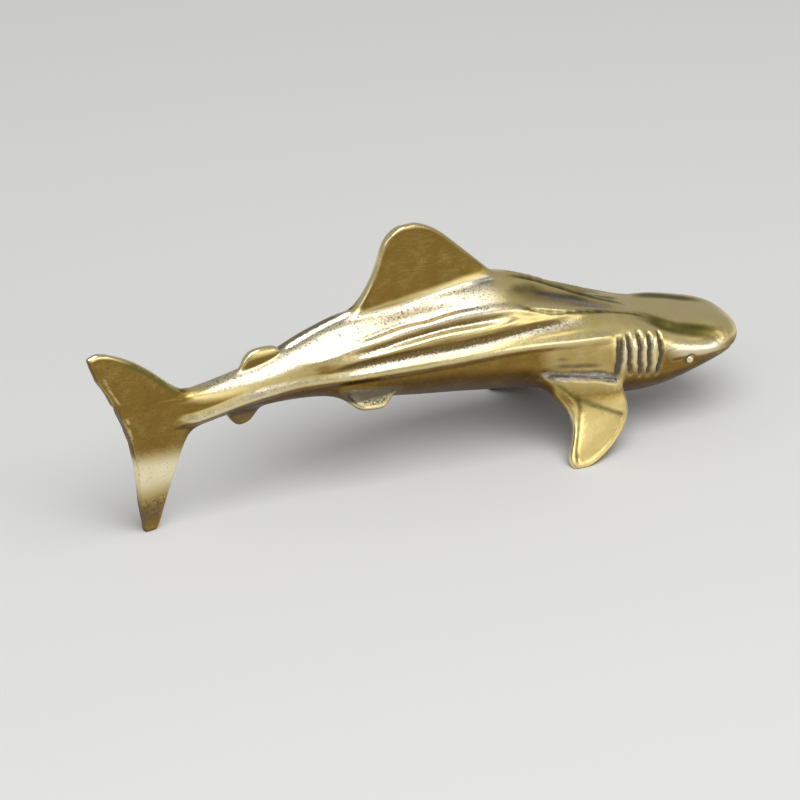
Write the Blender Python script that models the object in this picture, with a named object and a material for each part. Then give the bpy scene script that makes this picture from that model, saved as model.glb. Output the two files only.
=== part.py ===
"""Cast brass whale shark figurine, one solid piece.

The shark stands on the tips of its two pectoral fins and on the lower lobe of its tail, with its
head towards +X. Its body is lofted through sections along a bent spine. Each fin grows out of the
body's own faces, so that the casting has soft roots, and the ridges and gill slits are then
pressed into the skin along lines drawn on it.
"""

import math
from collections import namedtuple

import bmesh
import bpy
import numpy as np

mm = 0.001

# Main sizes. The spine is an arc seen from above, measured from the fork of the tail to the snout.
spine_length = 79.0 * mm
swim_bend = math.radians(18.0)
spine_height = 14.5 * mm
trunk_width = 13.0 * mm
trunk_depth = 14.0 * mm
fin_thickness = 1.5 * mm

# The tables are drawn for those sizes in millimetres, and each of their columns follows its size.
along_unit = spine_length / 79.0
height_unit = spine_height / 14.5
width_unit = trunk_width / 13.0
depth_unit = trunk_depth / 14.0
fin_unit = fin_thickness / 1.5

# Body sections: place along the spine, height of the spine over the table, half width, how far the
# body reaches above and below the spine there, and how round its upper and lower halves are, from
# square shoulders at 0.5 to an ellipse at 1.
Section = namedtuple("Section", "along height half_width above below crown belly")
sections = [
    Section(0.3, 14.4, 0.75, 1.8, 2.0, 0.02, 0.02),
    Section(3.5, 14.1, 0.77, 1.9, 2.2, 0.05, 0.05),
    Section(6.5, 13.8, 0.85, 2.0, 2.3, 0.12, 0.12),
    Section(9.0, 13.6, 1.20, 2.0, 2.3, 0.36, 0.36),
    Section(12.0, 13.6, 1.60, 2.2, 2.2, 0.75, 0.75),
    Section(15.0, 13.8, 1.90, 2.4, 2.2, 1.0, 1.0),
    Section(18.0, 13.9, 2.30, 2.6, 2.4, 1.0, 1.0),
    Section(22.0, 14.2, 2.90, 3.3, 2.9, 1.0, 1.0),
    Section(26.0, 14.5, 3.70, 4.4, 3.8, 1.0, 1.0),
    Section(30.0, 14.5, 4.30, 5.2, 4.6, 1.0, 1.0),
    Section(34.0, 14.2, 4.90, 5.5, 5.3, 1.0, 1.0),
    Section(38.0, 14.1, 5.50, 6.0, 6.0, 1.0, 1.0),
    Section(42.0, 14.0, 5.90, 6.8, 6.4, 1.0, 1.0),
    Section(46.0, 13.6, 6.20, 7.5, 6.5, 1.0, 0.95),
    Section(50.0, 12.9, 6.30, 7.3, 6.4, 1.0, 0.95),
    Section(54.0, 12.0, 6.40, 6.3, 6.1, 1.0, 0.9),
    Section(58.0, 10.9, 6.50, 5.4, 5.9, 0.90, 0.8),
    Section(62.0, 9.8, 6.50, 5.0, 5.7, 0.75, 0.7),
    Section(66.0, 9.0, 6.30, 4.5, 5.4, 0.55, 0.7),
    Section(70.0, 8.7, 6.00, 4.1, 4.3, 0.45, 0.7),
    Section(73.0, 8.7, 5.60, 3.5, 3.1, 0.45, 0.7),
    Section(75.6, 8.8, 5.00, 2.9, 2.2, 0.50, 0.7),
    Section(77.2, 8.9, 4.30, 2.3, 1.6, 0.60, 0.7),
    Section(78.4, 9.0, 3.10, 1.4, 1.0, 0.75, 0.8),
    Section(79.0, 9.0, 1.70, 0.6, 0.5, 0.90, 0.9),
]

# Rings of the mesh: the angles of one flank from the crest, 90 degrees, to the keel, and the places
# along the spine, each fin's root lying on whole rings.
flank_angles = [90, 79, 68, 57, 47, 38, 29, 20, 11, 1, -11, -26, -44, -66, -90]
ring_places = [0.3, 2.9, 5.3, 7.6, 9.8, 12.0, 14.0, 16.0, 18.4, 21.0, 23.8, 26.8, 29.4, 32.2, 35.0,
               38.0, 41.0, 44.0, 47.0, 50.0, 52.6, 55.1, 57.6, 60.1, 62.6, 64.8, 67.0, 69.2, 71.4,
               73.4, 75.2, 76.8, 77.9, 78.7, 79.0]

# The end of the tail leans back towards its top over this length.
tail_blade = 10.0
tail_rake = 0.40
tail_edge_crease = 0.6

FinLayer = namedtuple("FinLayer", "rear front thickness")


def through(places, values, at):
    """The smooth curve that passes through the design values, read at one or more places."""
    places, values = np.asarray(places, float), np.asarray(values, float)
    slopes = np.gradient(values, places)
    i = np.clip(np.searchsorted(places, at) - 1, 0, len(places) - 2)
    span = places[i + 1] - places[i]
    t = np.clip((at - places[i]) / span, 0, 1)
    before, after = values[i], values[i + 1]
    return (
        before * (1 + 2 * t) * (1 - t) ** 2
        + after * t * t * (3 - 2 * t)
        + slopes[i] * span * t * (1 - t) ** 2
        - slopes[i + 1] * span * t * t * (1 - t)
    )


section_units = {"height": height_unit, "half_width": width_unit, "above": depth_unit,
                 "below": depth_unit, "crown": 1.0, "belly": 1.0}


def section_value(name, along):
    """A section's value at a place along the spine, the place counted in drawing units."""
    drawn = through([s.along for s in sections], [getattr(s, name) for s in sections], along)
    return drawn * section_units[name]


def plan_point(along):
    """Where the spine's arc passes, seen from above."""
    start = swim_bend / 2
    radius = spine_length / swim_bend
    heading = start - along * along_unit / radius
    return np.array([(math.sin(start) - math.sin(heading)) * radius,
                     (math.cos(heading) - math.cos(start)) * radius, 0.0])


def sideways(along):
    """The level direction towards the shark's left at that place."""
    heading = swim_bend / 2 - swim_bend / spine_length * along * along_unit
    return np.array([-math.sin(heading), math.cos(heading), 0.0])


def spine_point(along):
    point = plan_point(along)
    point[2] = section_value("height", along)
    return point


def upright(along):
    """The direction square to the spine, in the mid plane."""
    ahead = spine_point(along + 0.5) - spine_point(along - 0.5)
    square = np.cross(ahead, sideways(along))
    return square / np.linalg.norm(square)


def body_point(along, angle, side=1):
    """A point of the plain body, the angle counted up from the flank."""
    a = math.radians(angle)
    fullness = section_value("crown" if angle > 0 else "belly", along)
    reach = section_value("above" if angle > 0 else "below", along)
    out = section_value("half_width", along) * abs(math.cos(a)) ** fullness * side
    spread = max(0.5 + fullness / 2, 1 - 2 * fullness)
    rise = reach * math.copysign(abs(math.sin(a)) ** spread, a)
    rake = tail_rake * max(0.0, 1 - along / tail_blade) * rise
    return spine_point(along - rake / along_unit) + sideways(along) * out + upright(along) * rise


def fin_point(along, out, height):
    """A point drawn by its place along the spine, its distance from the mid plane and its height."""
    point = plan_point(along) + sideways(along) * out * width_unit
    point[2] = height * height_unit
    return point


def build_rings(bm):
    """The body's rings, each running from the crest down the left flank and up the right one."""
    rings = []
    for along in ring_places:
        left = [body_point(along, angle) for angle in flank_angles]
        right = [body_point(along, angle, -1) for angle in flank_angles[-2:0:-1]]
        rings.append([bm.verts.new(point) for point in left + right])
    return rings


def skin_body(bm, rings, roots):
    """Faces between the rings, left open where a fin grows, and across both ends."""
    count = len(rings[0])
    for i in range(len(rings) - 1):
        for k in range(count):
            if (i, k) not in roots:
                n = (k + 1) % count
                bm.faces.new((rings[i][k], rings[i + 1][k], rings[i + 1][n], rings[i][n]))
    for ring in (rings[0], rings[-1]):
        bm.faces.new((ring[0], ring[1], ring[-1]))
        for k in range(1, count // 2 - 1):
            bm.faces.new((ring[k], ring[k + 1], ring[-k - 1], ring[-k]))
        half = count // 2
        bm.faces.new((ring[half - 1], ring[half], ring[half + 1]))


class Fin:
    """A fin that grows from a strip of the body, two faces wide and several rings long."""

    def __init__(self, first, last, columns, layers):
        self.first, self.last = first, last
        self.columns = columns
        self.layers = layers

    def root_faces(self, count):
        """The body faces that the fin takes the place of."""
        found = set()
        for i in range(self.first, self.last):
            for a, b in zip(self.columns, self.columns[1:]):
                low = min(a, b) if abs(a - b) < count / 2 else max(a, b)
                found.add((i, low))
        return found

    def grow(self, bm, rings):
        rows = range(self.first, self.last + 1)
        edge = self.border([[rings[i][c] for c in self.columns] for i in rows])
        idle = [rings[i][self.columns[1]] for i in list(rows)[1:-1]]
        below = sum((np.array(v.co) for v in edge), np.zeros(3)) / len(edge)
        for number, layer in enumerate(self.layers):
            rear, front = np.array(layer.rear), np.array(layer.front)
            middle = (rear + front) / 2
            normal = np.cross(front - rear, middle - below)
            normal /= np.linalg.norm(normal)
            toward = np.array(rings[self.first][self.columns[0]].co)
            away = np.array(rings[self.first][self.columns[2]].co)
            if np.dot(normal, toward - away) < 0:
                normal = -normal
            out = (middle - below) / np.linalg.norm(middle - below)
            grid = self.layer_grid(bm, layer, rear, front, normal, out, number == len(self.layers) - 1)
            ring = self.border(grid)
            for a, b, c, d in zip(edge, edge[1:] + edge[:1], ring[1:] + ring[:1], ring):
                bm.faces.new((a, b, c, d))
            edge, below = ring, middle
        for i in range(len(grid) - 1):
            for c in range(2):
                bm.faces.new((grid[i][c], grid[i + 1][c], grid[i + 1][c + 1], grid[i][c + 1]))
        for v in idle:
            bm.verts.remove(v)

    def layer_grid(self, bm, layer, rear, front, normal, out, last):
        rows = self.last - self.first + 1
        grid = []
        for j in range(rows):
            share = j / (rows - 1)
            end = j in (0, rows - 1)
            spread = 0.02 + 0.92 * share
            thick = layer.thickness / 2 * (0.9 if end else 1.0)
            flat = rear + (front - rear) * spread
            row = [bm.verts.new(flat + normal * thick), None, bm.verts.new(flat - normal * thick)]
            if end:
                row[1] = bm.verts.new(rear + (front - rear) * share)
            elif last:
                row[1] = bm.verts.new(flat + out * layer.thickness * 0.2)
            grid.append(row)
        return grid

    @staticmethod
    def border(grid):
        """The vertices round a grid of rows by three columns, in order."""
        top = [row[0] for row in grid]
        bottom = [row[2] for row in grid]
        return [grid[0][1], *top, grid[-1][1], *bottom[::-1]]


def median_layers(rows):
    """Layers of a fin in the mid plane, from rear and front edge points, each along and height."""
    return [FinLayer(fin_point(ra, 0, rh), fin_point(fa, 0, fh), t * fin_unit)
            for (ra, rh), (fa, fh), t in rows]


def side_layers(rows, side):
    """Layers of a paired fin, from rear and front edge points, each along, out and height."""
    return [FinLayer(fin_point(ra, ro * side, rh), fin_point(fa, fo * side, fh), t * fin_unit)
            for (ra, ro, rh), (fa, fo, fh), t in rows]


def ring_at(place):
    return min(range(len(ring_places)), key=lambda i: abs(ring_places[i] - place))


# Rear and front points of each layer, in drawing units, with its thickness.
upper_lobe = [((-1.3, 17.0), (7.6, 16.5), 1.4), ((-2.6, 19.2), (5.0, 19.1), 1.3),
              ((-3.6, 21.5), (1.4, 21.9), 1.3), ((-4.3, 23.3), (-2.6, 23.7), 1.2)]
lower_lobe = [((1.75, 11.2), (8.9, 10.0), 1.4), ((2.3, 7.6), (7.7, 6.8), 1.4),
              ((2.7, 3.8), (6.4, 3.6), 1.4), ((3.6, -0.1), (5.2, -0.1), 1.3)]
second_dorsal = [((16.0, 17.1), (21.2, 17.5), 1.4), ((17.0, 18.4), (20.6, 18.2), 1.0)]
anal_fin = [((14.4, 11.0), (18.2, 10.8), 1.3), ((15.4, 9.7), (17.2, 9.8), 1.0)]
dorsal_fin = [((31.0, 20.5), (47.5, 22.0), 2.1), ((32.8, 23.6), (45.3, 23.9), 1.5),
              ((33.5, 26.3), (42.7, 26.3), 1.4), ((34.2, 28.0), (40.7, 28.0), 1.3),
              ((35.7, 28.9), (38.6, 28.9), 1.1)]
pectoral_fin = [((53.6, 5.9, 6.6), (62.9, 6.1, 5.8), 2.0), ((55.5, 7.2, 4.7), (62.9, 7.5, 4.1), 1.5),
                ((54.8, 8.7, 2.6), (61.5, 8.8, 2.4), 1.5), ((53.6, 9.8, 0.9), (59.2, 9.9, 0.8), 1.4),
                ((53.9, 10.7, -0.3), (56.3, 10.7, -0.3), 1.2)]
pelvic_fin = [((27.6, 3.7, 11.4), (33.8, 3.9, 10.9), 1.2), ((28.6, 4.8, 10.2), (32.4, 4.9, 9.8), 0.9)]


def all_fins(count):
    half = count // 2
    crest, keel = (1, 0, count - 1), (half - 1, half, half + 1)
    fins = [
        Fin(ring_at(0.3), ring_at(9.8), crest, median_layers(upper_lobe)),
        Fin(ring_at(0.3), ring_at(9.8), keel, median_layers(lower_lobe)),
        Fin(ring_at(16.0), ring_at(21.0), crest, median_layers(second_dorsal)),
        Fin(ring_at(14.0), ring_at(18.4), keel, median_layers(anal_fin)),
        Fin(ring_at(29.4), ring_at(47.0), crest, median_layers(dorsal_fin)),
    ]
    for side, (a, b, c) in ((1, (10, 11, 12)), (-1, (count - 10, count - 11, count - 12))):
        fins.append(Fin(ring_at(52.6), ring_at(62.6), (a, b, c), side_layers(pectoral_fin, side)))
    for side, (a, b, c) in ((1, (11, 12, 13)), (-1, (count - 11, count - 12, count - 13))):
        fins.append(Fin(ring_at(26.8), ring_at(35.0), (a, b, c), side_layers(pelvic_fin, side)))
    return fins


def crease_tail_edge(bm):
    """Keep the corners of the tail's trailing edge crisp, both lobes and the fork between them."""
    crease = bm.edges.layers.float.new("crease_edge")
    back = np.cross(sideways(0), (0, 0, -1))
    for edge in bm.edges:
        looks = sorted(np.dot(np.array(face.normal), back) for face in edge.link_faces)
        if looks[-1] > 0.6 and looks[0] < 0.5 and edge.verts[0].co.x < tail_blade / 2 * along_unit:
            edge[crease] = tail_edge_crease


def build_cage():
    bm = bmesh.new()
    rings = build_rings(bm)
    fins = all_fins(len(rings[0]))
    roots = set().union(*(fin.root_faces(len(rings[0])) for fin in fins))
    skin_body(bm, rings, roots)
    for fin in fins:
        fin.grow(bm, rings)
    bmesh.ops.recalc_face_normals(bm, faces=bm.faces)
    crease_tail_edge(bm)
    mesh = bpy.data.meshes.new("shark_figurine")
    bm.to_mesh(mesh)
    bm.free()
    return mesh


# Lines drawn on both flanks, as places along the spine with heights over the table. Each raises the
# skin, or presses it in, across its width, the last two counted in the relief's own sizes. Heights
# above the crest lie on the crest itself.
Stroke = namedtuple("Stroke", "points width rise")
strokes = {
    "upper ridge": Stroke([(22, 16.0), (31, 17.4), (38, 18.3), (44, 18.7), (50, 17.9), (55, 16.5),
                           (60, 15.1), (63, 14.0)], 0.9, 0.28),
    "middle ridge": Stroke([(23, 15.6), (33, 16.4), (40, 16.9), (45, 17.0), (50, 17.4)], 0.8, 0.28),
    "lower ridge": Stroke([(5.5, 12.6), (10, 12.7), (14.4, 13.4), (18, 13.9), (22, 14.1), (30, 13.9),
                           (40, 14.0), (48, 14.1), (55, 13.6), (62, 13.0)], 1.0, 0.30),
    "upper groove": Stroke([(26, 16.3), (33, 16.9), (38, 17.5), (44, 17.8), (48.5, 17.5)], 0.6, -0.30),
    "lower groove": Stroke([(25, 14.9), (35, 15.3), (44, 15.5), (50, 15.8), (54, 15.6), (58, 14.8)],
                           0.9, -0.35),
    "back hollow": Stroke([(44, 20.3), (49, 19.4), (54, 17.6), (59, 15.9)], 1.1, -0.30),
    "crest groove": Stroke([(24, 18.0), (30, 18.8), (38, 19.6), (44, 20.0)], 0.9, -0.20),
    "tail crest": Stroke([(20, 30), (31, 30)], 0.5, 0.12),
    "neck crest": Stroke([(45, 30), (61, 30)], 0.6, 0.12),
    "fin root groove": Stroke([(53, 9.4), (56, 9.4), (59, 9.0), (63, 7.8)], 0.8, -0.30),
}
relief_width = 1.0 * mm
relief_depth = 1.0 * mm
relief_fade = 4.0

# The mouth and the eyes, in drawing units behind the tip of the snout and over the table.
snout = sections[-1].along
mouth_behind, mouth_height = 4.5, 8.2
mouth_width = 0.35 * mm
mouth_depth = 0.30 * mm
eye_behind, eye_height = 7.4, 8.3
eye_radius = 0.50 * mm
eye_sunk = 0.3

# The gill slits, in drawing units from the rearmost on, with the height of their tops and bottoms.
first_gill, gill_spacing = 61.5, 1.22
gill_heights = [(13.2, 8.4), (13.2, 7.9), (13.0, 7.5), (12.7, 7.3), (12.4, 7.2)]
gills = [(first_gill + gill_spacing * i, *heights) for i, heights in enumerate(gill_heights)]
gill_width = 0.28 * mm
gill_depth = 0.30 * mm

# Cut points this close to an old vertex use it.
snap = 0.04 * mm


def flank_point(along, height, side):
    """The point of the plain body's flank at that drawn height over the table."""
    rise = height * height_unit - section_value("height", along)
    reach = section_value("above" if rise > 0 else "below", along)
    fullness = section_value("crown" if rise > 0 else "belly", along)
    share = min(1.0, abs(rise) / reach) ** (1 / max(0.5 + fullness / 2, 1 - 2 * fullness))
    return body_point(along, math.degrees(math.copysign(math.asin(share), rise)), side)


def draw_line(points, side, step=0.4):
    """Points along a smooth line on the flank, close together."""
    alongs = [along for along, height in points]
    count = max(2, int((alongs[-1] - alongs[0]) / step))
    places = np.linspace(alongs[0], alongs[-1], count)
    return np.array([flank_point(a, through(alongs, [h for _, h in points], a), side)
                     for a in places])


def press(places, line, width, rise, fade):
    """How far each vertex moves for one line, fading out over both ends of it."""
    gaps = np.linalg.norm(places[:, None, :] - line[None, :, :], axis=2)
    nearest = gaps.argmin(axis=1)
    gap = gaps[np.arange(len(places)), nearest] / width
    run = np.linalg.norm(np.diff(line, axis=0), axis=1)
    travelled = np.concatenate(([0.0], np.cumsum(run)))[nearest]
    ends = np.clip(np.minimum(travelled, run.sum() - travelled) / fade, 0, 1)
    bump = np.where(gap < 1, np.cos(np.clip(gap, 0, 1) * math.pi / 2) ** 2, 0)
    return rise * bump * ends * ends * (3 - 2 * ends)


def carve(places, normals):
    """The skin after every line is pressed into both flanks."""
    moved = np.zeros(len(places))
    for stroke in strokes.values():
        for side in (1, -1):
            line = draw_line(stroke.points, side)
            moved += press(places, line, stroke.width * relief_width, stroke.rise * relief_depth,
                           relief_fade * relief_width)
    for place, top, bottom in gills:
        for side in (1, -1):
            line = np.array([flank_point(place, h, side) for h in np.linspace(bottom, top, 24)])
            moved += press(places, line, gill_width, -gill_depth, 2 * gill_width)
    moved += press(places, mouth_line(), mouth_width, -mouth_depth, 4 * mouth_width)
    return places + normals * moved[:, None]


def mouth_line():
    """The mouth's slit, round the blunt front of the snout from one flank to the other."""
    sides = [np.array([flank_point(a, mouth_height, side)
                       for a in np.linspace(snout - mouth_behind, snout, 24)]) for side in (1, -1)]
    front = np.linspace(sides[0][-1], sides[1][-1], 30)[1:-1]
    return np.concatenate((sides[0], front, sides[1][::-1]))


def cut_gill_edges(bm):
    """Cut the flanks' faces along both edges and the middle of each gill slit."""
    reach = 2 * gill_width
    for place, top, bottom in gills:
        low, high = bottom * height_unit - reach, top * height_unit + reach
        for offset in (-gill_width, 0, gill_width):
            along = place + offset / along_unit
            point, ahead = plan_point(along), np.cross(sideways(along), (0, 0, 1))
            near = []
            for face in bm.faces:
                middle = face.calc_center_median()
                away = abs(np.dot(np.array(middle) - point, ahead))
                if away < 7 * gill_width and low < middle.z < high and abs(face.normal.z) < 0.9:
                    near.append(face)
            edges = {e for f in near for e in f.edges}
            verts = {v for f in near for v in f.verts}
            bmesh.ops.bisect_plane(bm, geom=near + list(edges) + list(verts), plane_co=point,
                                   plane_no=ahead, dist=snap)


def flatten_feet(bm):
    """Cut the three feet level with the table."""
    for v in bm.verts:
        if abs(v.co.z) < snap:
            v.co.z = 0
    everything = bm.verts[:] + bm.edges[:] + bm.faces[:]
    cut = bmesh.ops.bisect_plane(bm, geom=everything, plane_co=(0, 0, 0), plane_no=(0, 0, -1),
                                 clear_outer=True)["geom_cut"]
    bmesh.ops.holes_fill(bm, edges=[e for e in cut if isinstance(e, bmesh.types.BMEdge)])


def add_eye(side):
    """A small ball, its middle a little under the skin."""
    place = snout - eye_behind
    middle = flank_point(place, eye_height, side) - sideways(place) * side * eye_radius * eye_sunk
    bpy.ops.mesh.primitive_uv_sphere_add(segments=12, ring_count=8, radius=eye_radius,
                                         location=middle)
    return bpy.context.object


def join(shark, tool):
    """Unite the casting with another body, which is used up."""
    union = shark.modifiers.new("Join", "BOOLEAN")
    union.operation, union.solver, union.object = "UNION", "EXACT", tool
    apply_modifiers(shark)
    bpy.data.objects.remove(tool)


def centre(mesh):
    """Move the casting in plan so that its bounding box lies centred on the origin."""
    corners = np.array([v.co for v in mesh.vertices])
    middle = (corners.min(axis=0) + corners.max(axis=0)) / 2
    for v in mesh.vertices:
        v.co.x -= middle[0]
        v.co.y -= middle[1]


def brass():
    material = bpy.data.materials.new("brass")
    material.use_nodes = True
    surface = material.node_tree.nodes["Principled BSDF"]
    surface.inputs["Base Color"].default_value = (0.78, 0.62, 0.28, 1.0)
    surface.inputs["Metallic"].default_value = 1.0
    surface.inputs["Roughness"].default_value = 0.3
    return material


def apply_modifiers(shark):
    """Replace the object's mesh by what its modifiers make of it."""
    depsgraph = bpy.context.evaluated_depsgraph_get()
    result = bpy.data.meshes.new_from_object(shark.evaluated_get(depsgraph))
    shark.modifiers.clear()
    shark.data = result


def press_relief(mesh):
    """Give the smooth casting its ridges, grooves, slits and flat feet."""
    bm = bmesh.new()
    bm.from_mesh(mesh)
    cut_gill_edges(bm)
    bm.normal_update()
    places = np.array([v.co for v in bm.verts])
    normals = np.array([v.normal for v in bm.verts])
    for v, place in zip(bm.verts, carve(places, normals)):
        v.co = place
    flatten_feet(bm)
    bm.to_mesh(mesh)
    bm.free()


def main():
    for old in list(bpy.data.objects):
        bpy.data.objects.remove(old)
    shark = bpy.data.objects.new("shark_figurine", build_cage())
    bpy.context.scene.collection.objects.link(shark)
    smooth = shark.modifiers.new("Smooth casting", "SUBSURF")
    smooth.levels = smooth.render_levels = 1
    apply_modifiers(shark)
    press_relief(shark.data)
    for side in (1, -1):
        join(shark, add_eye(side))
    centre(shark.data)
    shark.data.shade_smooth()
    shark.data.materials.clear()
    shark.data.materials.append(brass())


main()
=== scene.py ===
import math

import bmesh
import bpy
import numpy as np
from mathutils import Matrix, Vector, kdtree


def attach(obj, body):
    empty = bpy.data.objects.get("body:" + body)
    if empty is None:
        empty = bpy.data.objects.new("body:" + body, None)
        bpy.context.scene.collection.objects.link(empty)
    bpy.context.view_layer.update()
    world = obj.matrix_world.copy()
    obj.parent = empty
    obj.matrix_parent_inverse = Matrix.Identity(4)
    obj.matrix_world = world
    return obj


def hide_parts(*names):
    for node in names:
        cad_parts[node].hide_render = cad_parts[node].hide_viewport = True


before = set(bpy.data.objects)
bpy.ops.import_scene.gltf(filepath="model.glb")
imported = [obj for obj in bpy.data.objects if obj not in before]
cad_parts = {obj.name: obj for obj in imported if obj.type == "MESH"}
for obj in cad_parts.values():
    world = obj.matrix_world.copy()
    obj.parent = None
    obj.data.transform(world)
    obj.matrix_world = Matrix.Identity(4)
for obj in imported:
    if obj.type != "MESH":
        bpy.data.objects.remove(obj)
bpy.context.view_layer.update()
print("frame loaded")

# the shark's spine and body, in millimetres until the mesh is finished
spine = {"length": 79.0, "bend": math.radians(18.0), "bladeLength": 10.0, "bladeRake": 0.40}

# along, height of the spine, half width, reach above, reach below, roundness above, roundness below
bodySections = [
    (0.3, 14.4, 0.75, 1.8, 2.0, 0.02, 0.02), (3.5, 14.1, 0.77, 1.9, 2.2, 0.05, 0.05),
    (6.5, 13.8, 0.85, 2.0, 2.3, 0.12, 0.12), (9.0, 13.6, 1.20, 2.0, 2.3, 0.36, 0.36),
    (12.0, 13.6, 1.60, 2.2, 2.2, 0.75, 0.75), (15.0, 13.8, 1.90, 2.4, 2.2, 1.0, 1.0),
    (18.0, 13.9, 2.30, 2.6, 2.4, 1.0, 1.0), (22.0, 14.2, 2.90, 3.3, 2.9, 1.0, 1.0),
    (26.0, 14.5, 3.70, 4.4, 3.8, 1.0, 1.0), (30.0, 14.5, 4.30, 5.2, 4.6, 1.0, 1.0),
    (34.0, 14.2, 4.90, 5.5, 5.3, 1.0, 1.0), (38.0, 14.1, 5.50, 6.0, 6.0, 1.0, 1.0),
    (42.0, 14.0, 5.90, 6.8, 6.4, 1.0, 1.0), (46.0, 13.6, 6.20, 7.5, 6.5, 1.0, 0.95),
    (50.0, 12.9, 6.30, 7.3, 6.4, 1.0, 0.95), (54.0, 12.0, 6.40, 6.3, 6.1, 1.0, 0.9),
    (58.0, 10.9, 6.50, 5.4, 5.9, 0.90, 0.8), (62.0, 9.8, 6.50, 5.0, 5.7, 0.75, 0.7),
    (66.0, 9.0, 6.30, 4.5, 5.4, 0.55, 0.7), (70.0, 8.7, 6.00, 4.1, 4.3, 0.45, 0.7),
    (73.0, 8.7, 5.60, 3.5, 3.1, 0.45, 0.7), (75.6, 8.8, 5.00, 2.9, 2.2, 0.50, 0.7),
    (77.2, 8.9, 4.30, 2.3, 1.6, 0.60, 0.7), (78.4, 9.0, 3.10, 1.4, 1.0, 0.75, 0.8),
    (79.0, 9.0, 1.70, 0.6, 0.5, 0.90, 0.9),
]
sectionColumns = dict(zip(("along", "height", "halfWidth", "above", "below", "crown", "belly"),
                          zip(*bodySections)))

flankAngles = [90, 79, 68, 57, 47, 38, 29, 20, 11, 1, -11, -26, -44, -66, -90]
ringPlaces = [0.3, 2.9, 5.3, 7.6, 9.8, 12.0, 14.0, 16.0, 18.4, 21.0, 23.8, 26.8, 29.4, 32.2, 35.0,
              38.0, 41.0, 44.0, 47.0, 50.0, 52.6, 55.1, 57.6, 60.1, 62.6, 64.8, 67.0, 69.2, 71.4,
              73.4, 75.2, 76.8, 77.9, 78.7, 79.0]


def through(places, values, at):
    # a smooth curve through the given values, read at one place or many
    places, values, at = (np.asarray(a, float) for a in (places, values, at))
    slopes = np.gradient(values, places)
    i = np.clip(np.searchsorted(places, at) - 1, 0, len(places) - 2)
    span = places[i + 1] - places[i]
    t = np.clip((at - places[i]) / span, 0, 1)
    return (values[i] * (1 + 2 * t) * (1 - t) ** 2 + values[i + 1] * t * t * (3 - 2 * t)
            + slopes[i] * span * t * (1 - t) ** 2 - slopes[i + 1] * span * t * t * (1 - t))


def sectionValue(name, along):
    return float(through(sectionColumns["along"], sectionColumns[name], along))


def heading(along):
    return spine["bend"] / 2 - spine["bend"] / spine["length"] * along


def planPoint(along):
    start, turn = spine["bend"] / 2, spine["bend"] / spine["length"]
    return np.array([(math.sin(start) - math.sin(heading(along))) / turn,
                     (math.cos(heading(along)) - math.cos(start)) / turn, 0.0])


def sideways(along):  # level, towards the shark's left
    return np.array([-math.sin(heading(along)), math.cos(heading(along)), 0.0])


def ahead(along):
    return np.cross(sideways(along), (0, 0, 1))


def spinePoint(along):
    point = planPoint(along)
    point[2] = sectionValue("height", along)
    return point


def upright(along):
    square = np.cross(spinePoint(along + 0.5) - spinePoint(along - 0.5), sideways(along))
    return square / np.linalg.norm(square)


def bodyPoint(along, angle, side=1):
    a = math.radians(angle)
    fullness = sectionValue("crown" if angle > 0 else "belly", along)
    reach = sectionValue("above" if angle > 0 else "below", along)
    out = sectionValue("halfWidth", along) * abs(math.cos(a)) ** fullness * side
    rise = reach * math.copysign(abs(math.sin(a)) ** max(0.5 + fullness / 2, 1 - 2 * fullness), a)
    rake = spine["bladeRake"] * max(0.0, 1 - along / spine["bladeLength"]) * rise
    return spinePoint(along - rake) + sideways(along) * out + upright(along) * rise


def flankPoint(along, height, side):  # where the plain flank has that height over the table
    rise = height - sectionValue("height", along)
    reach = sectionValue("above" if rise > 0 else "below", along)
    fullness = sectionValue("crown" if rise > 0 else "belly", along)
    share = min(1.0, abs(rise) / reach) ** (1 / max(0.5 + fullness / 2, 1 - 2 * fullness))
    return bodyPoint(along, math.degrees(math.copysign(math.asin(share), rise)), side)


def finPoint(along, out, height):
    point = planPoint(along) + sideways(along) * out
    point[2] = height
    return point


# the fins: each layer is a rear point, a front point and a thickness
finLayers = {
    "upperLobe": [((-1.3, 0, 17.0), (7.6, 0, 16.5), 1.4), ((-2.6, 0, 19.2), (5.0, 0, 19.1), 1.3),
                  ((-3.6, 0, 21.5), (1.4, 0, 21.9), 1.3), ((-4.3, 0, 23.3), (-2.6, 0, 23.7), 1.2)],
    "lowerLobe": [((1.75, 0, 11.2), (8.9, 0, 10.0), 1.4), ((2.3, 0, 7.6), (7.7, 0, 6.8), 1.4),
                  ((2.7, 0, 3.8), (6.4, 0, 3.6), 1.4), ((3.6, 0, -0.1), (5.2, 0, -0.1), 1.3)],
    "secondDorsal": [((16.0, 0, 17.1), (21.2, 0, 17.5), 1.4), ((17.0, 0, 18.4), (20.6, 0, 18.2), 1.0)],
    "anal": [((14.4, 0, 11.0), (18.2, 0, 10.8), 1.3), ((15.4, 0, 9.7), (17.2, 0, 9.8), 1.0)],
    "dorsal": [((31.0, 0, 20.5), (47.5, 0, 22.0), 2.1), ((32.8, 0, 23.6), (45.3, 0, 23.9), 1.5),
               ((33.5, 0, 26.3), (42.7, 0, 26.3), 1.4), ((34.2, 0, 28.0), (40.7, 0, 28.0), 1.3),
               ((35.7, 0, 28.9), (38.6, 0, 28.9), 1.1)],
    "pectoral": [((53.6, 5.9, 6.6), (62.9, 6.1, 5.8), 2.0), ((55.5, 7.2, 4.7), (62.9, 7.5, 4.1), 1.5),
                 ((54.8, 8.7, 2.6), (61.5, 8.8, 2.4), 1.5), ((53.6, 9.8, 0.9), (59.2, 9.9, 0.8), 1.4),
                 ((53.9, 10.7, -0.3), (56.3, 10.7, -0.3), 1.2)],
    "pelvic": [((27.6, 3.7, 11.4), (33.8, 3.9, 10.9), 1.2), ((28.6, 4.8, 10.2), (32.4, 4.9, 9.8), 0.9)],
}
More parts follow.
